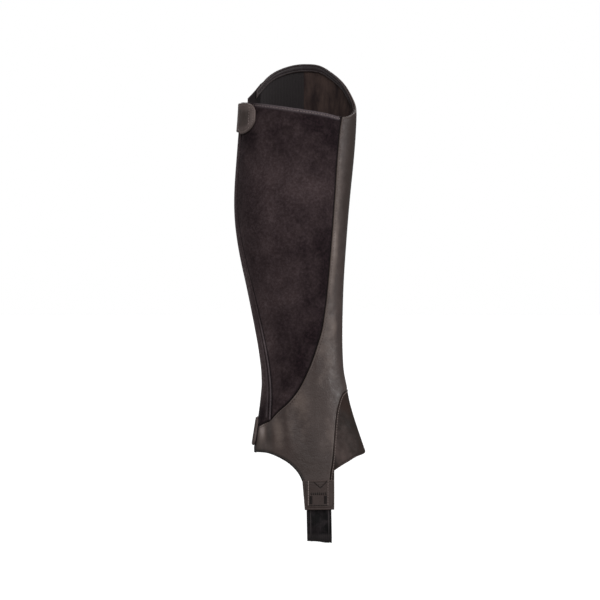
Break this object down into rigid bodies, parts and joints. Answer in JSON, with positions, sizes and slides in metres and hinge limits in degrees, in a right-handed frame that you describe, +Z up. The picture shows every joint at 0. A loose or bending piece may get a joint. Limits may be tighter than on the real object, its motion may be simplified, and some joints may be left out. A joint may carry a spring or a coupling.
{
  "type": "half chap",
  "caption": "Zipped leather gaiter for the left calf with a suede inner panel, raised outer top, closing tabs and an elastic strap under the boot.",
  "frame": {"origin": "on the axis of the leg at the fullest part of the calf, inside the hollow, where the leg holds it", "axes": "+Z up the leg, +X forwards to the toe, -Y on the inner side of the leg"},
  "size_m": [0.1356, 0.1073, 0.497],
  "materials": {
    "leather_panel": "smooth, fine grained",
    "suede_panel": "brushed suede nap",
    "stretch_panel": "matt knit",
    "inner_placket": "brushed suede nap",
    "outer_placket": "brushed suede nap",
    "instep_tongue": "smooth, fine grained",
    "top_facing": "smooth thin band",
    "top_tab": "smooth, fine grained",
    "heel_tab": "smooth, fine grained",
    "inner_patch": "smooth, fine grained",
    "outer_patch": "smooth, fine grained",
    "elastic_strap": "braided elastic webbing",
    "inner_zip_tape": "woven tape",
    "outer_zip_tape": "woven tape",
    "zip_chain": "moulded coil",
    "zip_slider": "dark plated",
    "zip_box": "dark plated",
    "pull_tab": "dark plated"
  },
  "bodies": {
    "garment": {"leather_panel": "leather_panel", "suede_panel": "suede_panel", "stretch_panel": "stretch_panel", "inner_placket": "inner_placket", "outer_placket": "outer_placket", "instep_tongue": "instep_tongue", "top_facing": "top_facing", "top_tab": "top_tab", "heel_tab": "heel_tab", "inner_patch": "inner_patch", "outer_patch": "outer_patch", "elastic_strap": "elastic_strap", "inner_zip_tape": "inner_zip_tape", "outer_zip_tape": "outer_zip_tape", "zip_chain": "zip_chain", "zip_slider": "zip_slider", "zip_box": "zip_box"},
    "pull": {"pull_tab": "pull_tab"}
  },
  "joints": [
    {"name": "pull_swing", "type": "hinge", "parent": "garment", "child": "pull", "pos_m": [-0.05311, 0.01991, 0.06328], "axis": [0.3598, 0.933, 0], "range_deg": [0, 150]}
  ]
}
